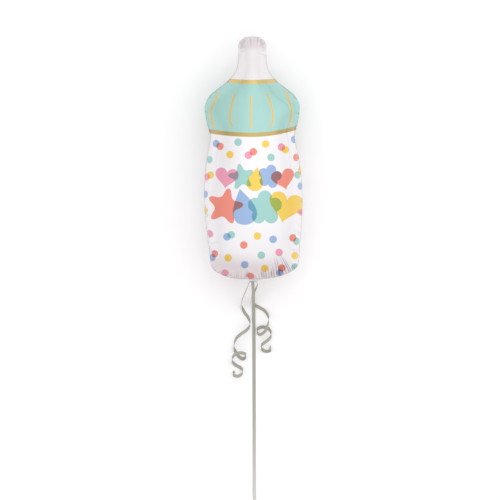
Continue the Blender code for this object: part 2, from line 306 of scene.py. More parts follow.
TAIL_THICKNESS = 0.0003
TAIL_SHIFT = 0.006
LIE_HEIGHT = 0.0007
TETHER_END = -0.735
TETHER_TWIST = 0.040
LOOP_KNOT_LENGTH = 0.014
LOOP_LENGTH = 0.088
LOOP_WIDTH = 0.044
LOOP_MOUTH = 0.0050
LOOP_POINTS = 120
LOOP_TAPER = 1.2
LOOP_FULL = 1.18
GAP = 0.0004

# Routes of the solids, in millimetres from the bottom edge, and where the tether starts over its knot
TETHER_START = (0.6, -5.4, 115.4)
TETHER_ROUTE = (
    (1.5, -10, 112), (2.2, -20, 111.5), (3.0, -32, 108), (3.5, -45, 99), (3.8, -56, 82), (4.0, -65, 61),
    (4.2, -74, 41), (4.4, -83, 24), (4.6, -95, 10.5), (4.8, -110, 3.2), (5.0, -128, 0.7), (5.2, -150, 0.7),
    (5.5, -220, 0.7), (5.8, -320, 0.7), (6.1, -440, 0.7), (6.3, -560, 0.7), (6.5, -660, 0.7),
    (6.5, -735, 0.7),
)
LEFT_TAIL_ROUTE = (
    (-8.6, -5.5, 112), (-17.0, -27, 94), (-27.0, -50, 60), (-34.5, -73.8, 25), (-33.5, -88.3, 9.5),
    (-23.9, -109, 1.2), (-13.6, -124, 4), (-7.6, -140.4, 13), (-10.7, -155.3, 24), (-23.9, -168.3, 32.5),
    (-40.5, -179.6, 34), (-52.7, -192.5, 27), (-59.2, -209.4, 16), (-58.2, -224.3, 6.5), (-51.8, -238.8, 1.4),
    (-42.4, -252.1, 1.0), (-30.4, -258.6, 4), (-22, -252, 12), (-22, -242.7, 22), (-35, -238.2, 31),
    (-51.8, -240.8, 33), (-62.8, -251.1, 27), (-65.7, -259.5, 19), (-63.8, -268.6, 10), (-52.7, -278.9, 2.2),
    (-40.5, -285.4, 1.4), (-33, -292.9, 6), (-31.7, -300.3, 13), (-35.9, -308.7, 20), (-47.9, -314.2, 26),
    (-60.2, -310.7, 24), (-62.8, -303.9, 17), (-57.3, -299.3, 12),
)
RIGHT_TAIL_ROUTE = (
    (8.6, -5.0, 112), (15.5, -9, 108), (15.2, -21, 97), (8.7, -35, 76), (0, -51.1, 50), (-2.3, -64, 27),
    (2.9, -76, 10), (10.7, -83.8, 3.2), (24.6, -91.9, 1.0), (38.8, -100.6, 4), (49.2, -113.9, 12),
    (53.7, -127.8, 20), (51.8, -141.7, 27), (47.6, -154, 32), (42.4, -166.3, 34), (31.7, -176, 33),
    (22, -178.6, 27), (15.2, -169.9, 19), (16.8, -161.2, 11), (28.2, -155, 3.2), (42.4, -155, 1.0),
    (52.7, -159.5, 4), (59.9, -169.9, 12), (61.8, -177, 17), (59.9, -185.7, 22), (51.1, -196.4, 28),
    (38.8, -205.2, 29), (30.7, -212.9, 23), (29.1, -220, 15), (32.7, -227.8, 6), (44, -234, 1.0),
    (56.3, -231.4, 4), (60.5, -224.2, 12), (56.3, -218.1, 18),
)

# Stage: the floor, the sky's strength from its edge to its brightest place, and softboxes with their place,
# target, size and power
FLOOR_HALF = 6
FLOOR_DROP = 0.0004
FLOOR_ROUGHNESS = 0.95
FLOOR_NOISE = (14.0, 4.0)
FLOOR_DARK = (0.97, 0.97, 0.97)
FLOOR_LIGHT = (0.99, 0.99, 0.99)
SKY = (0.64, 1.10)
SKY_START = -0.4
SKY_BRIGHTEST = (0.09, 0.03, 1.0)
SKY_COLOUR = (1.0, 0.99, 1.0, 1)
SOFTBOXES = {
    "overhead": ((0.5, 0.5, 3.2), (0, 0, 0.1), 3.6, 12),
    "side": ((2.6, 1.2, 1.6), (0, 0.1, 0.15), 1.4, 3),
}


def linear(srgb):
    """A colour of 0 to 255 as the renderer's own linear colour."""
    return tuple(c / 255 / 12.92 if c <= 10 else ((c / 255 + 0.055) / 1.055) ** 2.4 for c in srgb)


def from_pixel(x, y):
    """The place on the picture's plane, in the frame, of a pixel of the photograph."""
    return (x - MIDDLE_PX) * PX, BOTTOM_Y + (BOTTOM_PX - y) * PX


def smooth_curve(points, per_span):
    """A Catmull-Rom curve through the points, per_span steps to a span."""
    p = np.asarray(points, float)
    p = np.vstack([2 * p[0] - p[1], p, 2 * p[-1] - p[-2]])
    t = np.linspace(0, 1, per_span, endpoint=False)[:, None]
    spans = [
        b + 0.5 * t * (c - a + t * (2 * a - 5 * b + 4 * c - d + t * (3 * (b - c) + d - a)))
        for a, b, c, d in zip(p[:-3], p[1:-2], p[2:-1], p[3:])
    ]
    return np.vstack([*spans, p[-2:-1]])


def evenly(curve, step):
    """The same curve as points that are evenly spaced along it, about a step apart."""
    along = np.concatenate([[0], np.cumsum(np.linalg.norm(np.diff(curve, axis=0), axis=1))])
    at = np.linspace(0, along[-1], round(curve_length(curve) / step) + 1)
    return np.stack([np.interp(at, along, curve[:, k]) for k in range(curve.shape[1])], axis=1)


def curve_length(curve):
    return float(np.linalg.norm(np.diff(curve, axis=0), axis=1).sum())


def unit(vectors):
    return vectors / np.linalg.norm(vectors, axis=1)[:, None]


def outward(rim, apart):
    """Directions across a rim, in its plane, from the points that many places before and after each."""
    along = np.roll(rim, -apart, axis=0) - np.roll(rim, apart, axis=0)
    return unit(np.stack([along[:, 1], -along[:, 0]], axis=1))


# The film, as each point's flat place in cut, its side (1 in front, -1 behind, 0 on the seam) and its place
# now, and the faces between the points; and the solver that inflates it


def whole_rim(half, step):
    """The whole rim from its right half, evenly spaced, with the first point on the middle line."""
    return evenly(closed(np.vstack([half, half[-2:0:-1] * (-1, 1)])), step)[:-1]


def cut_rim(step):
    return whole_rim(smooth_curve(np.array(CUT_MM) / 1000, OUTLINE_STEPS), step)


def inside(rim, points):
    """Which points lie inside the rim, by crossings of a line to the right."""
    x, y = points.T
    found = np.zeros(len(points), bool)
    for (x0, y0), (x1, y1) in zip(rim, np.roll(rim, -1, axis=0)):
        if y0 != y1:
            found ^= ((y0 > y) != (y1 > y)) & (x < (x1 - x0) * (y - y0) / (y1 - y0) + x0)
    return found


def closed(rim):
    return np.vstack([rim, rim[:1]])


def distance_to_rim(rim, points):
    return gap_to(closed(rim), points, math.inf)[0]


def flat_film(step):
    """The flat cut as a mesh of nearly even triangles, front and back, slightly puffed to start it off."""
    rim = cut_rim(step)
    low, high = rim.min(axis=0), rim.max(axis=0)
    rows = np.arange(low[1], high[1], step * math.sqrt(3) / 2)
    wide = math.ceil(high[0] / step) * step
    columns = np.arange(-wide, wide, step)
    lattice = np.array([(x + (k % 2) * step / 2, y) for k, y in enumerate(rows) for x in columns])
    lattice = lattice[inside(rim, lattice)]
    lattice = lattice[distance_to_rim(rim, lattice) > RIM_CLEARANCE * step]
    points = np.vstack([rim, lattice])
    rim_count, count = len(rim), len(points)
    found = delaunay_2d_cdt([Vector(p) for p in points], [], [list(range(rim_count))], 1, SAME_POINT)
    points = np.array([tuple(p) for p in found[0]])
    front = np.array(found[2])
    behind = np.arange(count)
    behind[rim_count:] += count - rim_count
    cut = np.vstack([points, points[rim_count:]])
    side = np.concatenate([np.zeros(rim_count), np.ones(count - rim_count), -np.ones(count - rim_count)])
    puff = PUFF * np.sqrt(distance_to_rim(rim, cut))
    puff[:rim_count] = 0
    faces = np.vstack([front, behind[front][:, ::-1]])
    start = (cut - (0, low[1])) * (START_WIDTH, START_LENGTH)
    return SimpleNamespace(cut=cut, side=side, faces=faces, place=np.column_stack([start, side * puff]))


def sides_of(faces):
    """The three sides of each face, as pairs of points."""
    return np.sort(np.vstack([faces[:, [0, 1]], faces[:, [1, 2]], faces[:, [2, 0]]]), axis=1)


def edges_of(faces):
    """Unique edges, and the number of the edge from each corner of each face to the next."""
    pairs = sides_of(faces)
    count = int(faces.max()) + 1
    key, number = np.unique(pairs[:, 0] * count + pairs[:, 1], return_inverse=True)
    return np.stack([key // count, key % count], axis=1), number.reshape(3, -1).T


def finer(film, split=None):
    """Each triangle in four, or with only the edges marked in split cut in half."""
    edges, number = edges_of(film.faces)
    if split is None:
        split = np.ones(len(edges), bool)
    new = np.full(len(edges), -1)
    new[split] = len(film.cut) + np.arange(split.sum())
    faces = [film.faces[(new[number] < 0).all(axis=1)]]
    for turn in range(3):
        a, b, c = np.roll(film.faces, -turn, axis=1).T
        ab, bc, ca = np.roll(new[number], -turn, axis=1).T
        for found, parts in (
            ((ab >= 0) & (bc < 0) & (ca < 0), ((a, ab, c), (ab, b, c))),
            ((ab >= 0) & (bc >= 0) & (ca < 0), ((a, ab, c), (ab, b, bc), (ab, bc, c))),
            (
                (ab >= 0) & (bc >= 0) & (ca >= 0) & (turn == 0),
                ((a, ab, ca), (ab, b, bc), (ca, bc, c), (ab, bc, ca)),
            ),
        ):
            faces += [np.stack(part, axis=1)[found] for part in parts]
    ends = edges[split]
    return SimpleNamespace(
        cut=np.vstack([film.cut, film.cut[ends].mean(axis=1)]),
        side=np.concatenate([film.side, np.sign(film.side[ends].sum(axis=1))]),
        faces=np.vstack(faces),
        place=np.vstack([film.place, film.place[ends].mean(axis=1)]),
    )


def finer_near(film, near):
    """Cuts every triangle that has one of the marked points."""
    number = edges_of(film.faces)[1]
    split = np.zeros(number.max() + 1, bool)
    split[number[near[film.faces].any(axis=1)]] = True
    return finer(film, split)


def separate_groups(pairs, count):
    """Groups of pairs in which no point comes twice, so that a whole group can move at once."""
    order = np.random.default_rng(1)
    left = np.arange(len(pairs))
    groups = []
    while len(left):
        used = np.zeros(count, bool)
        group = []
        open_pairs = left
        for _ in range(GROUP_ROUNDS):
            open_pairs = open_pairs[~used[pairs[open_pairs]].any(axis=1)]
            if not len(open_pairs):
                break
            rank = order.random(len(open_pairs))
            first = np.full(count, 2.0)
            for end in range(2):
                np.minimum.at(first, pairs[open_pairs, end], rank)
            chosen = open_pairs[(first[pairs[open_pairs]] == rank[:, None]).all(axis=1)]
            used[pairs[chosen]] = True
            group.append(chosen)
        groups.append(np.sort(np.concatenate(group)))
        left = np.setdiff1d(left, groups[-1], assume_unique=True)
    return groups


def across_folds(film):
    """Pairs of points that face each other over an edge inside a sheet, which resist its folding."""
    faces = film.faces
    edges = sides_of(faces)
    facing = np.concatenate([faces[:, 2], faces[:, 0], faces[:, 1]])
    order = np.lexsort((edges[:, 1], edges[:, 0]))
    edges, facing = edges[order], facing[order]
    twin = np.flatnonzero((edges[1:] == edges[:-1]).all(axis=1))
    pairs = np.stack([facing[twin], facing[twin + 1]], axis=1)
    welded = (film.side[edges[twin]] == 0).all(axis=1) & (film.side[pairs[:, 0]] != film.side[pairs[:, 1]])
    return pairs[~welded]


def outline_guide(inset):
    """The photograph's outline from the bottom up, set in by that much, with its outward directions."""
    half = smooth_curve(OUTLINE_PX, OUTLINE_STEPS)
    rim = whole_rim(np.stack([half[:, 0] * PX, (BOTTOM_PX - half[:, 1]) * PX], axis=1), GUIDE_STEP)
    out = outward(rim, 2)
    return rim - out * inset, out


def draw_seam(now, seam, guide, out):
    """Moves the seam towards the outline, but lets it slide along it, and keeps it nearly level."""
    flat = now[seam, :2]
    nearest = ((flat[:, None] - guide[None]) ** 2).sum(axis=2).argmin(axis=1)
    over = ((flat - guide[nearest]) * out[nearest]).sum(axis=1)
    now[seam, :2] -= GUIDE_SHARE * over[:, None] * out[nearest]
    now[seam, 2] *= 1 - GUIDE_SETTLE


def mirror_partners(film):
    """For each point, the one opposite it across the middle line."""
    key = np.round(np.column_stack([film.cut * MIRROR_ROUNDING, film.side])).astype(int)
    flipped = key * (-1, 1, 1)
    order, other = np.lexsort(key.T), np.lexsort(flipped.T)
    partner = np.empty(len(key), int)
    partner[other] = order
    return partner


def sum_at_points(values, faces, count):
    """Adds each face's value at its three points."""
    shared = np.repeat(values, 3, axis=0)
    return np.stack([np.bincount(faces.ravel(), shared[:, k], count) for k in range(3)], axis=1)


def inflate(film, pressure, passes, partner=None):
    """Foil doesn't stretch but folds easily: edges pull hard when long, and push softly when short."""
    links = []
    stretch_pairs = edges_of(film.faces)[0]
    for pairs, pull, push in (
        (stretch_pairs, 1.0, SLACK_STIFFNESS),
        (across_folds(film), BEND_STIFFNESS, BEND_STIFFNESS),
    ):
        rest = np.linalg.norm(film.cut[pairs[:, 0]] - film.cut[pairs[:, 1]], axis=1)
        links += [(*pairs[g].T, rest[g], pull, push) for g in separate_groups(pairs, len(film.cut))]
    step = np.linalg.norm(film.cut[stretch_pairs[:, 0]] - film.cut[stretch_pairs[:, 1]], axis=1).mean()
    seam = np.flatnonzero(film.side == 0)
    guide, out = outline_guide(SEAM_WIDTH)
    now, before = film.place.copy(), film.place.copy()
    for count in range(passes):
        a, b, c = (now[film.faces[:, k]] for k in range(3))
        force = sum_at_points(np.cross(b - a, c - a) / 6, film.faces, len(now))
        now, before = now + DAMPING * (now - before) + pressure / step**2 * force, now
        for i, j, rest, pull, push in links:
            way = now[j] - now[i]
            length = np.sqrt((way * way).sum(axis=1)) + TINY
            extra = length - rest
            way *= (0.5 * np.where(extra > 0, pull, push) * extra / length)[:, None]
            now[i] += way
            now[j] -= way
        if count % GUIDE_EVERY == 0:
            draw_seam(now, seam, guide, out)
        if partner is not None and count % MIRROR_EVERY == 0:
            now = (now + now[partner] * (-1, 1, 1)) / 2
            before = (before + before[partner] * (-1, 1, 1)) / 2
    film.place = now


def lean(film):
    """Bends the body a little to the right, as it hangs in the photograph."""
    span = (BOTTOM_PX - LEAN_START_PX) * PX
    share = np.clip(1 - film.place[:, 1] / span, 0, None)
    slope = LEAN_POWER * LEAN_PX * PX / span * share ** (LEAN_POWER - 1)
    x = film.place[:, 0].copy()
    film.place[:, 0] += LEAN_PX * PX * share**LEAN_POWER
    film.place[:, 1] += slope * x


def set_in_frame(film):
    """Puts the inflated film where the solid is, with its back pressed flat on the surface it lies on."""
    lean(film)
    place = film.place
    place[:, 1] += BOTTOM_Y
    place[:, 2] *= (HIGH.z - SEAM_Z) / place[:, 2].max()
    place[:, 2] = np.maximum(place[:, 2] + SEAM_Z, FILM_LOW_Z)


def make_film():
    """Blows the film up on coarse triangles, and again each time that they are cut in four."""
    film = flat_film(COARSE_STEP)
    inflate(film, PRESSURE, COARSE_PASSES, mirror_partners(film))
    film = finer(film)
    inflate(film, PRESSURE / 4, MIDDLE_PASSES)
    film = finer(film)
    inflate(film, PRESSURE / 16, FINE_PASSES)
    set_in_frame(film)
    return film


# Print: distances inside each ink, positive inside it


def seen(points):
    """Where the camera sees each point on the picture's plane."""
    middle = np.array(from_pixel(FRAME_PX / 2, FRAME_PX / 2))
    nearer = CAMERA_DISTANCE / (CAMERA_DISTANCE - points[:, 2] + SEAM_Z)
    return middle + (points[:, :2] - middle) * nearer[:, None]


def print_places(film):
    """Where each point of the print lies: as seen in the picture, and on the flat cut."""
    return np.hstack([seen(film.place), film.cut])


def print_place(film, x, y):
    """The place on the front's print of a pixel of the photograph."""
    places = print_places(film)[film.side >= 0]
    gap = np.linalg.norm(places[:, :2] - from_pixel(x, y), axis=1)
    near = np.argpartition(gap, NEIGHBOURS)[:NEIGHBOURS]
    weight = 1 / (gap[near] + SAME_PLACE)
    return (places[near] * weight[:, None]).sum(axis=0) / weight.sum()


def shape_outline(kind, size):
    """A closed outline of a simple shape, about size from its middle to its edge."""
    t = np.linspace(0, 2 * math.pi, SHAPE_POINTS, endpoint=False)
    if kind == "heart":
        x = np.sin(t) ** 3 * 1.02
        y = (13 * np.cos(t) - 5 * np.cos(2 * t) - 2 * np.cos(3 * t) - np.cos(4 * t)) / 16 + 0.1
        return np.stack([x, y], axis=1) * size
    if kind == "drop":
        x = np.sin(t) * np.sin(t / 2) ** 1.3 * 0.92
        return np.stack([x, np.cos(t) * 1.02 + 0.05], axis=1) * size
    if kind == "flower":
        r = 0.66 + 0.34 * np.abs(np.cos(2.5 * t)) ** 0.7
    else:
        r = 0.76 + 0.22 * np.cos(5 * t) + 0.045 * np.cos(10 * t)
    return np.stack([np.sin(t) * r, np.cos(t) * r], axis=1) * size


def inside_distance(outline, points):
    gap = distance_to_rim(outline, points)
    return np.where(inside(outline, points), gap, -gap)


def marks_on(film):
    """Every printed mark: its ink, its middle and reach on the print, and its outline unless it is a dot."""
    marks = []
    for ink, pixels in DOTS_PX.items():
        marks += [(ink, print_place(film, *pixel), DOT_RADIUS, None) for pixel in pixels]
    for kind, x, y, size, turn, ink in SHAPES_PX:
        middle = print_place(film, x, y)
        c, s = math.cos(math.radians(turn)), math.sin(math.radians(turn))
        outline = shape_outline(kind, size * PX) @ np.array(((c, -s), (s, c))) + middle[:2]
        marks.append((ink, middle, SHAPE_REACH * size * PX, outline))
    return marks


def mark_distance(mark, points, back):
    """Distance inside the mark, which is round in the picture and drawn in where the film turns away."""
    _, middle, reach, outline = mark
    away = (points - middle) ** 2
    away = away[:, :2].sum(axis=1) + FILM_WEIGHT * away[:, 2:].sum(axis=1)
    distance = reach - np.sqrt(away / (1 + FILM_WEIGHT))
    if outline is not None:
        near = (distance > -NEAR_PRINT) & ~back
        distance = np.minimum(distance, -NEAR_PRINT)
        distance[near] = inside_distance(outline, points[near, :2])
    return distance


def gap_to(path, points, reach):
    """Distance from each point within reach to a curve, and how far along the curve that is."""
    gap, share = np.full(len(points), 2 * reach), np.zeros(len(points))
    low, high = np.min(path, axis=0) - reach, np.max(path, axis=0) + reach
    near = np.flatnonzero(((points > low) & (points < high)).all(axis=1))
    spot, best, at_best = points[near], gap[near], share[near]
    for k, (start, end) in enumerate(zip(path[:-1], path[1:])):
        way = end - start
        at = np.clip((spot - start) @ way / (way @ way), 0, 1)
        off = spot - start - at[:, None] * way
        this = np.sqrt((off * off).sum(axis=1))
        nearer = this < best
        best[nearer] = this[nearer]
        at_best[nearer] = (k + at[nearer]) / (len(path) - 1)
    gap[near], share[near] = best, at_best
    return gap, share


def bow(start, middle, end, count):
    """A parabola through three points."""
    t = np.linspace(0, 1, count)[:, None]
    return (1 - t) * (1 - 2 * t) * start + 4 * t * (1 - t) * middle + t * (2 * t - 1) * end


def stroke_distance(film, points):
    """Distance inside the nearest gold stroke of the cap."""
    nearest = np.full(len(points), np.inf)
    for stroke in STROKES_PX:
        path = bow(*(print_place(film, *pixel)[:2] for pixel in stroke), STROKE_POINTS)
        nearest = np.minimum(nearest, gap_to(path, points[:, :2], NEAR_PRINT)[0])
    return STROKE_HALF_WIDTH - nearest


def turn_over(places, back):
    """The back has the same print, as seen from behind."""
    places[back] *= (-1, 1, -1, 1)
    return places


def finer_print(film):
    """Small triangles along the edges of the shapes and strokes, so that their points come out clean."""
    back = film.side < 0
    places = turn_over(print_places(film), back)
    near = np.abs(stroke_distance(film, places)) < STROKE_HALF_WIDTH
    for mark in marks_on(film):
        if mark[3] is not None:
            near |= np.abs(mark_distance(mark, places, back)) < SHAPE_EDGE
    return finer_near(film, near)


# Puckers and creases


def normals_of(place, faces):
    a, b, c = (place[faces[:, k]] for k in range(3))
    total = sum_at_points(np.cross(b - a, c - a), faces, len(place))
    return total / (np.linalg.norm(total, axis=1)[:, None] + TINY)


def crease_paths():
    """Each crease as a curve on the picture's plane, with its half width and depth in metres."""
    for pixels, width, depth in CREASES_PX:
        yield smooth_curve([from_pixel(*pixel) for pixel in pixels], CREASE_STEPS), width / 1000, depth / 1000


def pucker_size(film, rim, share):
    """How deep and how long the puckers are at each point: most at the bottom's right corner."""
    rim_y = np.interp(share, np.linspace(0, 1, len(rim)), rim[:, 1])
    at_bottom, at_tip = (np.clip((rim_y - a) / (b - a), 0, 1) for a, b in (BOTTOM_RIM, TIP_RIM))
    middle, width = CORNER_PX
    away = (seen(film.place)[:, 0] - from_pixel(middle, 0)[0]) / (width * PX)
    corner = at_bottom * np.exp(-(away**2)) * (film.side >= 0)
    size = np.outer(1 - at_bottom - at_tip, SIDE_PUCKERS) + np.outer(at_tip, TIP_PUCKERS)
    size += np.outer(at_bottom - corner, BOTTOM_PUCKERS) + np.outer(corner, CORNER_PUCKERS)
    return size.T


def rim_puckers(film):
    """The cut's rim, each point's distance from it and share of the way round, and its puckers' size."""
    rim = closed(cut_rim(RIM_STEP))
    gap, share = gap_to(rim, film.cut, FOLD_SEARCH)
    return rim, gap, share, *pucker_size(film, rim, share)


def finer_folds(film):
    """Small triangles at the puckers of the bottom and the tip, and along the creases in the first round."""
    for turn, (least, part) in enumerate(FINER_PUCKERS):
        _, gap, _, depth, reach = rim_puckers(film)
        near = (gap < part * reach) & (depth > least) & ((film.side >= 0) | (gap < BACK_PUCKER_REACH))
        if turn == 0:
            at = seen(film.place)
            for path, width, _ in crease_paths():
                near |= (gap_to(path, at, CREASE_SEARCH * width)[0] < width) & (film.side > 0)
        film = finer_near(film, near)
    return film


def swing(phase, middle, size, every):
    return middle + size * np.sin(phase / every)


def fold_film(film):
    """Adds the puckers, which start at the seam and fade, and the creases; returns the share of painted shade
    in their valleys and grooves.
    """
    rim, gap, share, depth, reach = rim_puckers(film)
    phase = 2 * math.pi * share * curve_length(rim) / PUCKER_PITCH
    phase = phase + sum(size * np.sin(phase / every) for size, every in PITCH_WANDER)
    from_valley = (phase / (2 * math.pi) + 0.5) % 1 - 0.5
    valley = np.exp(-((from_valley * PUCKER_PITCH / VALLEY_WIDTH) ** 2)) * swing(phase, *VALLEY_SWING)
    reach = reach * swing(phase, *REACH_SWING)
    fade = (1 - np.exp(-((gap / PUCKER_START) ** 2))) * np.exp(-((PUCKER_FADE * gap / reach) ** 4))
    push = -depth * (valley + PUCKER_ROUND * np.cos(phase)) * fade
    # Painted shade in the puckers' valleys, more where they are deeper
    painted_fold_shade = valley * fade * np.clip(depth / VALLEY_SHADE_DEPTH, 0, 1)
    at = seen(film.place)
    ridge_height, ridge_at = CREASE_RIDGE
    for path, width, depth in crease_paths():
        gap, share = gap_to(path, at, CREASE_SEARCH * width)
        strength = np.sqrt(np.sin(math.pi * share).clip(0)) * (film.side > 0)
        groove = np.exp(-((gap / width) ** 2))
        ridge = ridge_height * np.exp(-(((gap - ridge_at * width) / width) ** 2))
        push -= depth * strength * (groove - ridge)
        shade = CREASE_SHADE * min(depth / VALLEY_SHADE_DEPTH, 1)
        # Painted shade along each crease's groove
        painted_fold_shade += shade * strength * np.exp(-((2 * gap / width) ** 2))
    film.place = film.place + normals_of(film.place, film.faces) * push[:, None]
    film.place[:, 2] = np.maximum(film.place[:, 2], FILM_LOW_Z)
    return np.clip(painted_fold_shade, 0, 1)


# Meshes and materials


def add_mesh(name, points, faces):
    mesh = bpy.data.meshes.new(name)
    mesh.from_pydata([tuple(p) for p in points], [], [tuple(f) for f in faces])
    mesh.shade_smooth()
    obj = bpy.data.objects.new(name, mesh)
    bpy.context.scene.collection.objects.link(obj)
    return obj


def grid_faces(rows, columns):
    index = np.arange(rows * columns).reshape(rows, columns)
    corners = (index[:-1, :-1], index[:-1, 1:], index[1:, 1:], index[1:, :-1])
    return np.stack(corners, axis=-1).reshape(-1, 4)


def store(obj, name, kind, values, domain="POINT"):
    """Keeps values on the mesh for its material to read."""
    field = {"FLOAT": "value", "FLOAT_COLOR": "color", "FLOAT_VECTOR": "vector"}[kind]
    attribute = obj.data.attributes.new(name, kind, domain)
    attribute.data.foreach_set(field, np.ravel(values).astype(np.float32))


def thicken(obj, thickness):
    solid = obj.modifiers.new("thickness", "SOLIDIFY")
    solid.thickness = thickness
    solid.offset = 0


def stand_for(obj, node):
    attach(obj, "root")
    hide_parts(node)


class Nodes:
    """Short calls for building a node tree."""

    def __init__(self, tree):
        self.tree = tree

    def link(self, source, socket):
        if hasattr(source, "is_output"):
            self.tree.links.new(source, socket)
        else:
            socket.default_value = source

    def add(self, kind, *values, **settings):
        """A node with its first inputs set or linked to the values."""
        node = self.tree.nodes.new(kind)
        for name, value in settings.items():
            setattr(node, name, value)
        for socket, value in zip(node.inputs, values):
            self.link(value, socket)
        return node

    def math(self, operation, a, b=0.0):
        return self.add("ShaderNodeMath", a, b, operation=operation).outputs[0]

    def step(self, value, low, high, least=0.0, most=1.0):
        """From least below low to most above high, smooth between them."""
        ends = (low, high, least, most)
        return self.add("ShaderNodeMapRange", value, *ends, interpolation_type="SMOOTHSTEP").outputs[0]

    def mix(self, share, a, b, blend="MIX"):
        node = self.add("ShaderNodeMix", share, data_type="RGBA", blend_type=blend)
        for name, value in (("A_Color", a), ("B_Color", b)):
            socket = next(s for s in node.inputs if s.identifier == name)
            self.link(value if hasattr(value, "is_output") else (*value, 1.0), socket)
        return next(s for s in node.outputs if s.identifier == "Result_Color")

    def attribute(self, name, output="Fac"):
        return self.add("ShaderNodeAttribute", attribute_name=name).outputs[output]

    def position(self):
        return self.add("ShaderNodeTexCoord").outputs["Object"]

    def parts(self, vector):
        return self.add("ShaderNodeSeparateXYZ", vector).outputs

    def noise(self, scale, detail, vector=None):
        node = self.add("ShaderNodeTexNoise", vector or self.position())
        node.inputs["Scale"].default_value = scale
        node.inputs["Detail"].default_value = detail
        return node.outputs["Fac"]

    def finish(self, socket, value):
        self.link(value, self.tree.nodes["Principled BSDF"].inputs[socket])

    def bump(self, height, distance, strength):
        node = self.add("ShaderNodeBump")
        for name, value in (("Strength", strength), ("Distance", distance), ("Height", height)):
            self.link(value, node.inputs[name])
        self.finish("Normal", node.outputs["Normal"])


def new_material(name, **values):
    material = bpy.data.materials.new(name)
    material.use_nodes = True
    nodes = Nodes(material.node_tree)
    for socket, value in values.items():
        nodes.finish(socket, value)
    return material, nodes


def band_share(nodes, x, y, band, span):
    """Height over a gold band's middle, which rises to each side along a parabola, and 1 within the band."""
    middle, left_rise, right_rise, half = band
    right = nodes.math("GREATER_THAN", x, 0.0)
    rise = nodes.math("ADD", nodes.math("MULTIPLY", right, (right_rise - left_rise) * PX), left_rise * PX)
    bend = nodes.math("POWER", nodes.math("ABSOLUTE", nodes.math("DIVIDE", x, span * PX)), 2.0)
    centre = nodes.math("ADD", nodes.math("MULTIPLY", rise, bend), from_pixel(0, middle)[1])
    over = nodes.math("SUBTRACT", y, centre)
    return over, nodes.step(nodes.math("ABSOLUTE", over), half * PX + INK_EDGE, half * PX - INK_EDGE)


def foil_material():
    """Pearl film with translucent dots and shapes, a mint cap, and gold bands and strokes, with painted shade
    towards the bottom edge and the tip and in the folds' valleys.
    """
    material, nodes = new_material("printed_foil", Roughness=FILM_ROUGHNESS)
    place = nodes.parts(nodes.attribute("seen_at", "Vector"))
    x, y = place["X"], place["Y"]
    over_low, low_band = band_share(nodes, x, y, LOWER_BAND_PX, LOWER_BAND_SPAN_PX)
    over_high, high_band = band_share(nodes, x, y, UPPER_BAND_PX, UPPER_BAND_SPAN_PX)
    above_cap = nodes.math("GREATER_THAN", over_high, 0)
    colour = nodes.mix(above_cap, linear(PEARL), linear(NIPPLE))
    # Painted shade: the pearl is darker towards the bottom edge, more on the left, and in the top rows of the
    # tip
    slanted = nodes.math("ADD", nodes.math("MULTIPLY", x, PAINTED_SHADE_SLANT), y)
    low_painted_shade = nodes.step(slanted, *(BOTTOM_Y + height for height in LOW_PAINTED_SHADE))
    tip_painted_shade = nodes.step(y, *(from_pixel(0, row)[1] for row in TIP_PAINTED_SHADE_PX))
    painted_shade = nodes.math("MAXIMUM", low_painted_shade, nodes.math("MULTIPLY", tip_painted_shade, TIP_PAINTED_SHADE_SHARE))
    colour = nodes.mix(painted_shade, colour, linear(PAINTED_SHADE), "MULTIPLY")
    for layer in range(INK_LAYERS):
        share = nodes.step(nodes.attribute(f"ink_{layer}"), -INK_EDGE, INK_EDGE)
        ink = nodes.attribute(f"ink_colour_{layer}", "Color")
        colour = nodes.mix(share, colour, ink, "MULTIPLY")
    over_bottom, under_top = nodes.math("GREATER_THAN", over_low, 0), nodes.math("LESS_THAN", over_high, 0)
    cap = nodes.math("MULTIPLY", over_bottom, under_top)
    stroke = nodes.math("MULTIPLY", nodes.step(nodes.attribute("gold_stroke"), -INK_EDGE, INK_EDGE), cap)
    paints = ((cap, CAP_MINT), (stroke, STROKE_GOLD), (low_band, LOWER_GOLD), (high_band, UPPER_GOLD))
    for share, paint in paints:
        colour = nodes.mix(share, colour, linear(paint))
    cloud = nodes.math("MULTIPLY", nodes.step(nodes.noise(*CLOUD_NOISE), *CLOUD_STEP), CLOUD_SHARE)
    colour = nodes.mix(cloud, colour, linear(FILM_SHADE), "MULTIPLY")
    # Painted shade in the valleys of the puckers and the grooves of the creases
    colour = nodes.mix(nodes.attribute("painted_fold_shade"), colour, linear(VALLEY_SHADE), "MULTIPLY")
    nodes.finish("Base Color", colour)
    bands = nodes.math("MAXIMUM", low_band, high_band)
    gold = nodes.math("MAXIMUM", bands, nodes.math("MULTIPLY", stroke, STROKE_METALLIC_SHARE))
    metallic = nodes.math("ADD", nodes.math("MULTIPLY", gold, GOLD_METALLIC), FILM_METALLIC)
    nodes.finish("Metallic", metallic)
    nodes.bump(nodes.noise(*GRAIN_NOISE), *GRAIN)
    return material


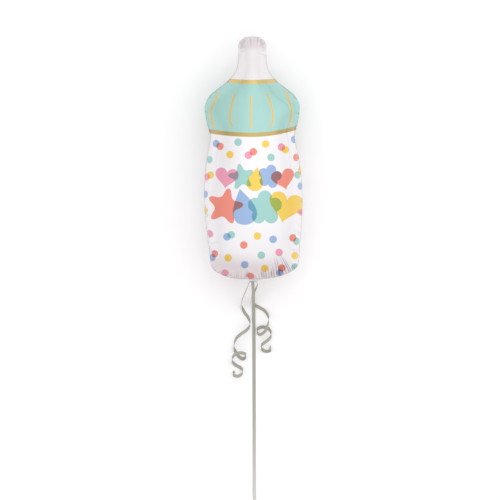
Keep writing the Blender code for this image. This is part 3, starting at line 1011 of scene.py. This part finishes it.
def print_film(obj, film, sources, back):
    """Stores how far each corner of each face is inside its nearest inks, and where strokes and bands go."""
    marks = marks_on(film)
    points = turn_over(print_places(film)[sources], back)
    corner = np.empty(len(obj.data.loops), int)
    obj.data.loops.foreach_get("vertex_index", corner)
    corner = corner.reshape(-1, 3)
    distance = np.stack([mark_distance(mark, points, back) for mark in marks])
    best = distance[:, corner].max(axis=2)
    order = np.sort(np.argsort(-best, axis=0)[:INK_LAYERS], axis=0)
    inks = np.array([(*linear(INKS[mark[0]]), 1.0) for mark in marks])
    for layer, chosen in enumerate(order):
        store(obj, f"ink_{layer}", "FLOAT", distance[chosen[:, None], corner], "CORNER")
        store(obj, f"ink_colour_{layer}", "FLOAT_COLOR", np.repeat(inks[chosen], 3, axis=0), "CORNER")
    store(obj, "gold_stroke", "FLOAT", stroke_distance(film, points))
    at = np.column_stack([seen(film.place), np.zeros(len(film.place))])[sources]
    store(obj, "seen_at", "FLOAT_VECTOR", at)


def seam_loop(film):
    """The seam's points in order round the rim."""
    edges = edges_of(film.faces)[0]
    edges = edges[(film.side[edges] == 0).all(axis=1)]
    after = {}
    for a, b in edges:
        after.setdefault(a, []).append(b)
        after.setdefault(b, []).append(a)
    loop = [int(edges[0, 0])]
    came = None
    while True:
        here = loop[-1]
        ahead = [n for n in after[here] if n != came]
        came = here
        if ahead[0] == loop[0] and len(loop) > 2:
            return np.array(loop)
        loop.append(int(ahead[0]))


def with_seam(film):
    """Points and faces with the flat seam added, each one's point of the film, and which are on the back."""
    seam = seam_loop(film)
    ring = film.place[seam]
    count, n = len(film.place), len(seam)
    out = np.column_stack([outward(ring, 3), np.zeros(n)])
    if ((ring - ring.mean(axis=0)) * out).sum() < 0:
        out = -out
    half = np.array((0, 0, SEAM_THICKNESS / 2))
    moved = film.place.copy()
    moved[seam] += half
    points = np.vstack([moved, ring - half, ring + out * SEAM_WIDTH + half, ring + out * SEAM_WIDTH - half])
    sources = np.concatenate([np.arange(count), seam, seam, seam])
    back = np.concatenate([film.side < 0, np.ones(n, bool), np.zeros(n, bool), np.ones(n, bool)])
    inner_low, outer_top, outer_low = (count + k * n + np.arange(n) for k in range(3))
    rear = np.arange(count)
    rear[seam] = inner_low
    in_front = (film.side[film.faces] > 0).any(axis=1)
    faces = [film.faces[in_front], rear[film.faces[~in_front]]]
    for a, b in ((seam, outer_top), (outer_top, outer_low), (outer_low, inner_low)):
        next_a, next_b = np.roll(a, -1), np.roll(b, -1)
        faces += [np.stack([a, b, next_b], axis=1), np.stack([a, next_b, next_a], axis=1)]
    return points, np.vstack(faces), sources, back


def foil_balloon():
    film = finer_folds(finer_print(make_film()))
    painted_fold_shade = fold_film(film)
    points, faces, sources, back = with_seam(film)
    obj = add_mesh("foil_balloon_film", points, faces)
    bm = bmesh.new()
    bm.from_mesh(obj.data)
    bmesh.ops.recalc_face_normals(bm, faces=bm.faces)
    bm.to_mesh(obj.data)
    bm.free()
    print_film(obj, film, sources, back)
    # The painted shade of the folds, kept for the material
    store(obj, "painted_fold_shade", "FLOAT", painted_fold_shade[sources])
    obj.data.materials.append(foil_material())
    stand_for(obj, "foil_balloon")


# Ribbons


def route_points(route_mm, step):
    points = smooth_curve(np.array(route_mm, float) / 1000, ROUTE_STEPS)
    points[:, 1] += BOTTOM_Y
    return evenly(points, step)


def directions(route):
    ways = np.empty_like(route)
    ways[1:-1] = route[2:] - route[:-2]
    ways[0], ways[-1] = route[1] - route[0], route[-1] - route[-2]
    return unit(ways)


def band(node, kind, route, across, material, width=RIBBON_WIDTH):
    """A flat ribbon on a route, slightly crowned, with its width along the across vectors."""
    columns = np.linspace(-0.5, 0.5, RIBBON_COLUMNS)
    normal = np.cross(directions(route), across)
    crown = RIBBON_CROWN * (1 - (2 * columns) ** 2)
    points = route[:, None] + across[:, None] * columns[:, None] * width + normal[:, None] * crown[:, None]
    n, m = len(route), len(columns)
    obj = add_mesh(f"{node}_{kind}", points.reshape(-1, 3), grid_faces(n, m))
    store(obj, "across", "FLOAT", np.tile(columns, n))
    store(obj, "along", "FLOAT", np.repeat(np.linspace(0, curve_length(route), n), m))
    obj.data.materials.append(material)
    thicken(obj, RIBBON_THICKNESS)
    stand_for(obj, node)
    return obj


def ribbon_material():
    """Satin sage curling ribbon with fine ribs and streaks along it, paler towards the tether's far end."""
    material, nodes = new_material("sage_ribbon", Roughness=RIBBON_ROUGHNESS)
    across = nodes.attribute("across")
    lanes = zip((across, nodes.attribute("along")), STREAK_LANES)
    lane = nodes.add("ShaderNodeCombineXYZ", *(nodes.math("MULTIPLY", *pair) for pair in lanes))
    streaks = nodes.step(nodes.noise(*STREAK_NOISE, lane.outputs[0]), *SOFT_STEP)
    colour = nodes.mix(streaks, linear(RIBBON_DARK), linear(RIBBON_SAGE))
    y = nodes.parts(nodes.position())["Y"]
    faded = nodes.step(y, BOTTOM_Y - PALE_FROM, BOTTOM_Y - PALE_TO)
    colour = nodes.mix(faded, colour, linear(RIBBON_PALE))
    nodes.finish("Base Color", colour)
    ribs = nodes.math("SINE", nodes.math("MULTIPLY", across, 2 * math.pi * RIBBON_RIBS))
    nodes.bump(ribs, *RIB_BUMP)
    return material


def curled_tail(name, route_mm, on_edge, material):
    """A curl that starts on edge for a length, and then turns to wind round a level line."""
    route = route_points(route_mm, CURL_STEP)
    ways = directions(route)
    along = np.linspace(0, curve_length(route), len(route))
    share = np.clip((along - on_edge) / CURL_TURN, 0, 1)
    axis = np.stack([CURL_TILT * (1 - share), -share, 1 - share], axis=1)
    across = unit(axis - ways * (ways * axis).sum(axis=1)[:, None])
    piece = band(name, "band", route, across, material)


def tether(material):
    """A straight ribbon that lies flat, and turns on edge before the loop's knot."""
    route = route_points((TETHER_START, *TETHER_ROUTE), TETHER_STEP)
    end = BOTTOM_Y + TETHER_END
    share = np.clip((end + TETHER_TWIST - route[:, 1]) / TETHER_TWIST, 0, 1)
    turn = 0.5 * math.pi * share**2 * (3 - 2 * share)
    route[:, 2] = np.maximum(route[:, 2], LIE_HEIGHT) + RIBBON_WIDTH / 2 * np.sin(turn)
    ways = directions(route)
    level = unit(np.cross((0, 0, 1), ways))
    across = level * np.cos(turn)[:, None] + np.cross(ways, level) * np.sin(turn)[:, None]
    return band("tether_ribbon", "band", route, across, material), route


def hand_loop(material):
    """A ribbon on edge, in a drop-shaped loop that closes at the knot."""
    start = BOTTOM_Y + TETHER_END - GAP - LOOP_KNOT_LENGTH
    middle_x = TETHER_ROUTE[-1][0] / 1000
    turn = np.linspace(0, 2 * math.pi, LOOP_POINTS)
    y = start - GAP - LOOP_LENGTH * (0.5 - 0.5 * np.cos(turn))
    mouth = LOOP_MOUTH / 2 * np.sign(math.pi - turn) * np.abs(np.cos(turn / 2))
    side = LOOP_WIDTH / 2 * np.sin(turn) * np.sin(turn / 2) ** LOOP_TAPER * LOOP_FULL
    route = np.stack([middle_x + side + mouth, y, np.full_like(y, RIBBON_WIDTH / 2 + GAP)], axis=1)
    across = np.tile((0.0, 0.0, 1.0), (len(route), 1))
    return band("hand_loop", "band", route, across, material)


def knot(name, order, material):
    """A ribbon wound in slanting turns round the last axis of the order, in the box of the solid knot."""
    low, high = (np.array(corner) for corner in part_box(name))
    size = (high - low)[order]
    wide, deep = size[:2] / 2 / (1 + KNOT_SWELL) - KNOT_INSET
    turn = np.linspace(0, 2 * math.pi * KNOT_TURNS, KNOT_STEPS * KNOT_TURNS)
    share = turn / turn[-1]
    climb = (share - 0.5) + KNOT_CLIMB[0] * np.sin(turn + KNOT_CLIMB[1])
    swell = 1 + KNOT_SWELL * (1 - (2 * share - 1) ** 2) + KNOT_WOBBLE[0] * np.sin(KNOT_WOBBLE[1] * turn)
    ring = [wide * swell * np.cos(turn), deep * swell * np.sin(turn), (size[2] - KNOT_BAND) * climb]
    route = np.stack(ring, axis=1)[:, order] + (low + high) / 2
    ways = directions(route)
    axis = np.array((KNOT_SLANT, 0, 1.0))[order]
    across = unit(axis - ways * (ways @ axis)[:, None])
    return band(name, "winding", route, across, material, KNOT_BAND)


def ribbons():
    material = ribbon_material()
    curled_tail("curled_ribbon_left", LEFT_TAIL_ROUTE, LEFT_ON_EDGE, material)
    curled_tail("curled_ribbon_right", RIGHT_TAIL_ROUTE, 0, material)
    straight, route = tether(material)
    loop = hand_loop(material)
    knot("tail_knot", [0, 1, 2], material)
    loop_knot = knot("loop_knot", [0, 2, 1], material)


def filling_tail(material):
    """The flat tab that the gas goes in by, from the leaning body's seam down to pleats at the knot."""
    root_rows, rows = TAIL_ROWS
    drop = np.concatenate([np.linspace(-TAIL_ROOT, 0, root_rows), np.linspace(0, TAIL_DROP, rows)[1:]])
    lanes = np.linspace(-1, 1, TAIL_LANES)
    pinch = np.exp(-(((drop - KNOT_DROP) / TAIL_PINCH) ** 2))
    half = TAIL_WIDTH / 2 + (TAIL_NECK_WIDTH - TAIL_WIDTH) / 2 * pinch
    spread = np.clip(drop / KNOT_DROP, 0, 1) * np.exp(-((drop - KNOT_DROP).clip(0) / TAIL_SPREAD) ** 2)
    pleat = TAIL_PLEAT * spread[:, None] * np.sin(lanes * 2 * math.pi * TAIL_PLEATS)[None]
    depth, waves, shift = TAIL_WAVE
    pleat += depth * np.sin(lanes * waves + shift)[None] * (drop.clip(0) / TAIL_DROP)[:, None]
    turn = np.clip(drop / TAIL_BEND, 0, 1)
    y = -np.where(drop < 0, drop, TAIL_BEND * np.sin(turn * math.pi / 2))
    z = -np.where(drop < TAIL_BEND, TAIL_BEND * (1 - np.cos(turn * math.pi / 2)), drop)
    to_knot = TAIL_SHIFT * (1 - np.clip(-z / KNOT_DROP, 0, 1)) ** 2
    points = np.stack([
        half[:, None] * lanes[None] + to_knot[:, None],
        BOTTOM_Y + y[:, None] + pleat * (drop > 0)[:, None],
        SEAM_Z + z[:, None] + np.zeros_like(pleat),
    ], axis=-1)
    obj = add_mesh("filling_tail_film", points.reshape(-1, 3), grid_faces(*points.shape[:2]))
    thicken(obj, TAIL_THICKNESS)
    obj.data.materials.append(material)
    stand_for(obj, "foil_balloon")


def tail_material():
    """Plain pearl film, cloudy with a darker tone."""
    material, nodes = new_material("tail_foil", Roughness=FILM_ROUGHNESS, Metallic=FILM_METALLIC)
    cloud = nodes.step(nodes.noise(*TAIL_NOISE), *SOFT_STEP)
    nodes.finish("Base Color", nodes.mix(cloud, linear(FILM_SHADE), linear(PEARL)))
    return material


# Stage, lights and camera


def stage():
    corners = [(x * FLOOR_HALF, y * FLOOR_HALF, 0) for x, y in ((-1, -1), (1, -1), (1, 1), (-1, 1))]
    floor = add_mesh("floor", corners, [(0, 1, 2, 3)])
    floor.location.z = LOW.z - FLOOR_DROP
    material, nodes = new_material("floor", Roughness=FLOOR_ROUGHNESS)
    nodes.finish("Base Color", nodes.mix(nodes.noise(*FLOOR_NOISE), FLOOR_DARK, FLOOR_LIGHT))
    floor.data.materials.append(material)


def softbox(name, place, target, size, power):
    light = bpy.data.lights.new(name, "AREA")
    light.size = size
    light.energy = power
    obj = bpy.data.objects.new(name, light)
    obj.location = place
    obj.rotation_euler = (Vector(target) - Vector(place)).to_track_quat("-Z", "Y").to_euler()
    obj.visible_camera = False
    bpy.context.scene.collection.objects.link(obj)


def lights():
    world = bpy.data.worlds.new("studio")
    bpy.context.scene.world = world
    world.use_nodes = True
    nodes = Nodes(world.node_tree)
    way = nodes.add("ShaderNodeTexCoord").outputs["Generated"]
    toward = nodes.add("ShaderNodeVectorMath", way, SKY_BRIGHTEST, operation="DOT_PRODUCT").outputs["Value"]
    background = nodes.tree.nodes["Background"].inputs
    nodes.link(nodes.step(toward, SKY_START, 1.0, *SKY), background["Strength"])
    nodes.link(SKY_COLOUR, background["Color"])
    for name, facts in SOFTBOXES.items():
        softbox(name, *facts)


def camera():
    data = bpy.data.cameras.new("camera")
    data.sensor_width = SENSOR_MM
    data.lens = data.sensor_width * CAMERA_DISTANCE / (FRAME_PX * PX)
    data.clip_end = CAMERA_REACH
    obj = bpy.data.objects.new("camera", data)
    x, y = from_pixel(FRAME_PX / 2, FRAME_PX / 2)
    obj.location = (x, y, SEAM_Z + CAMERA_DISTANCE)
    bpy.context.scene.collection.objects.link(obj)
    bpy.context.scene.camera = obj
    bpy.context.scene.view_settings.view_transform = "Standard"


camera()
ribbons()
foil_balloon()
filling_tail(tail_material())
stage()
lights()
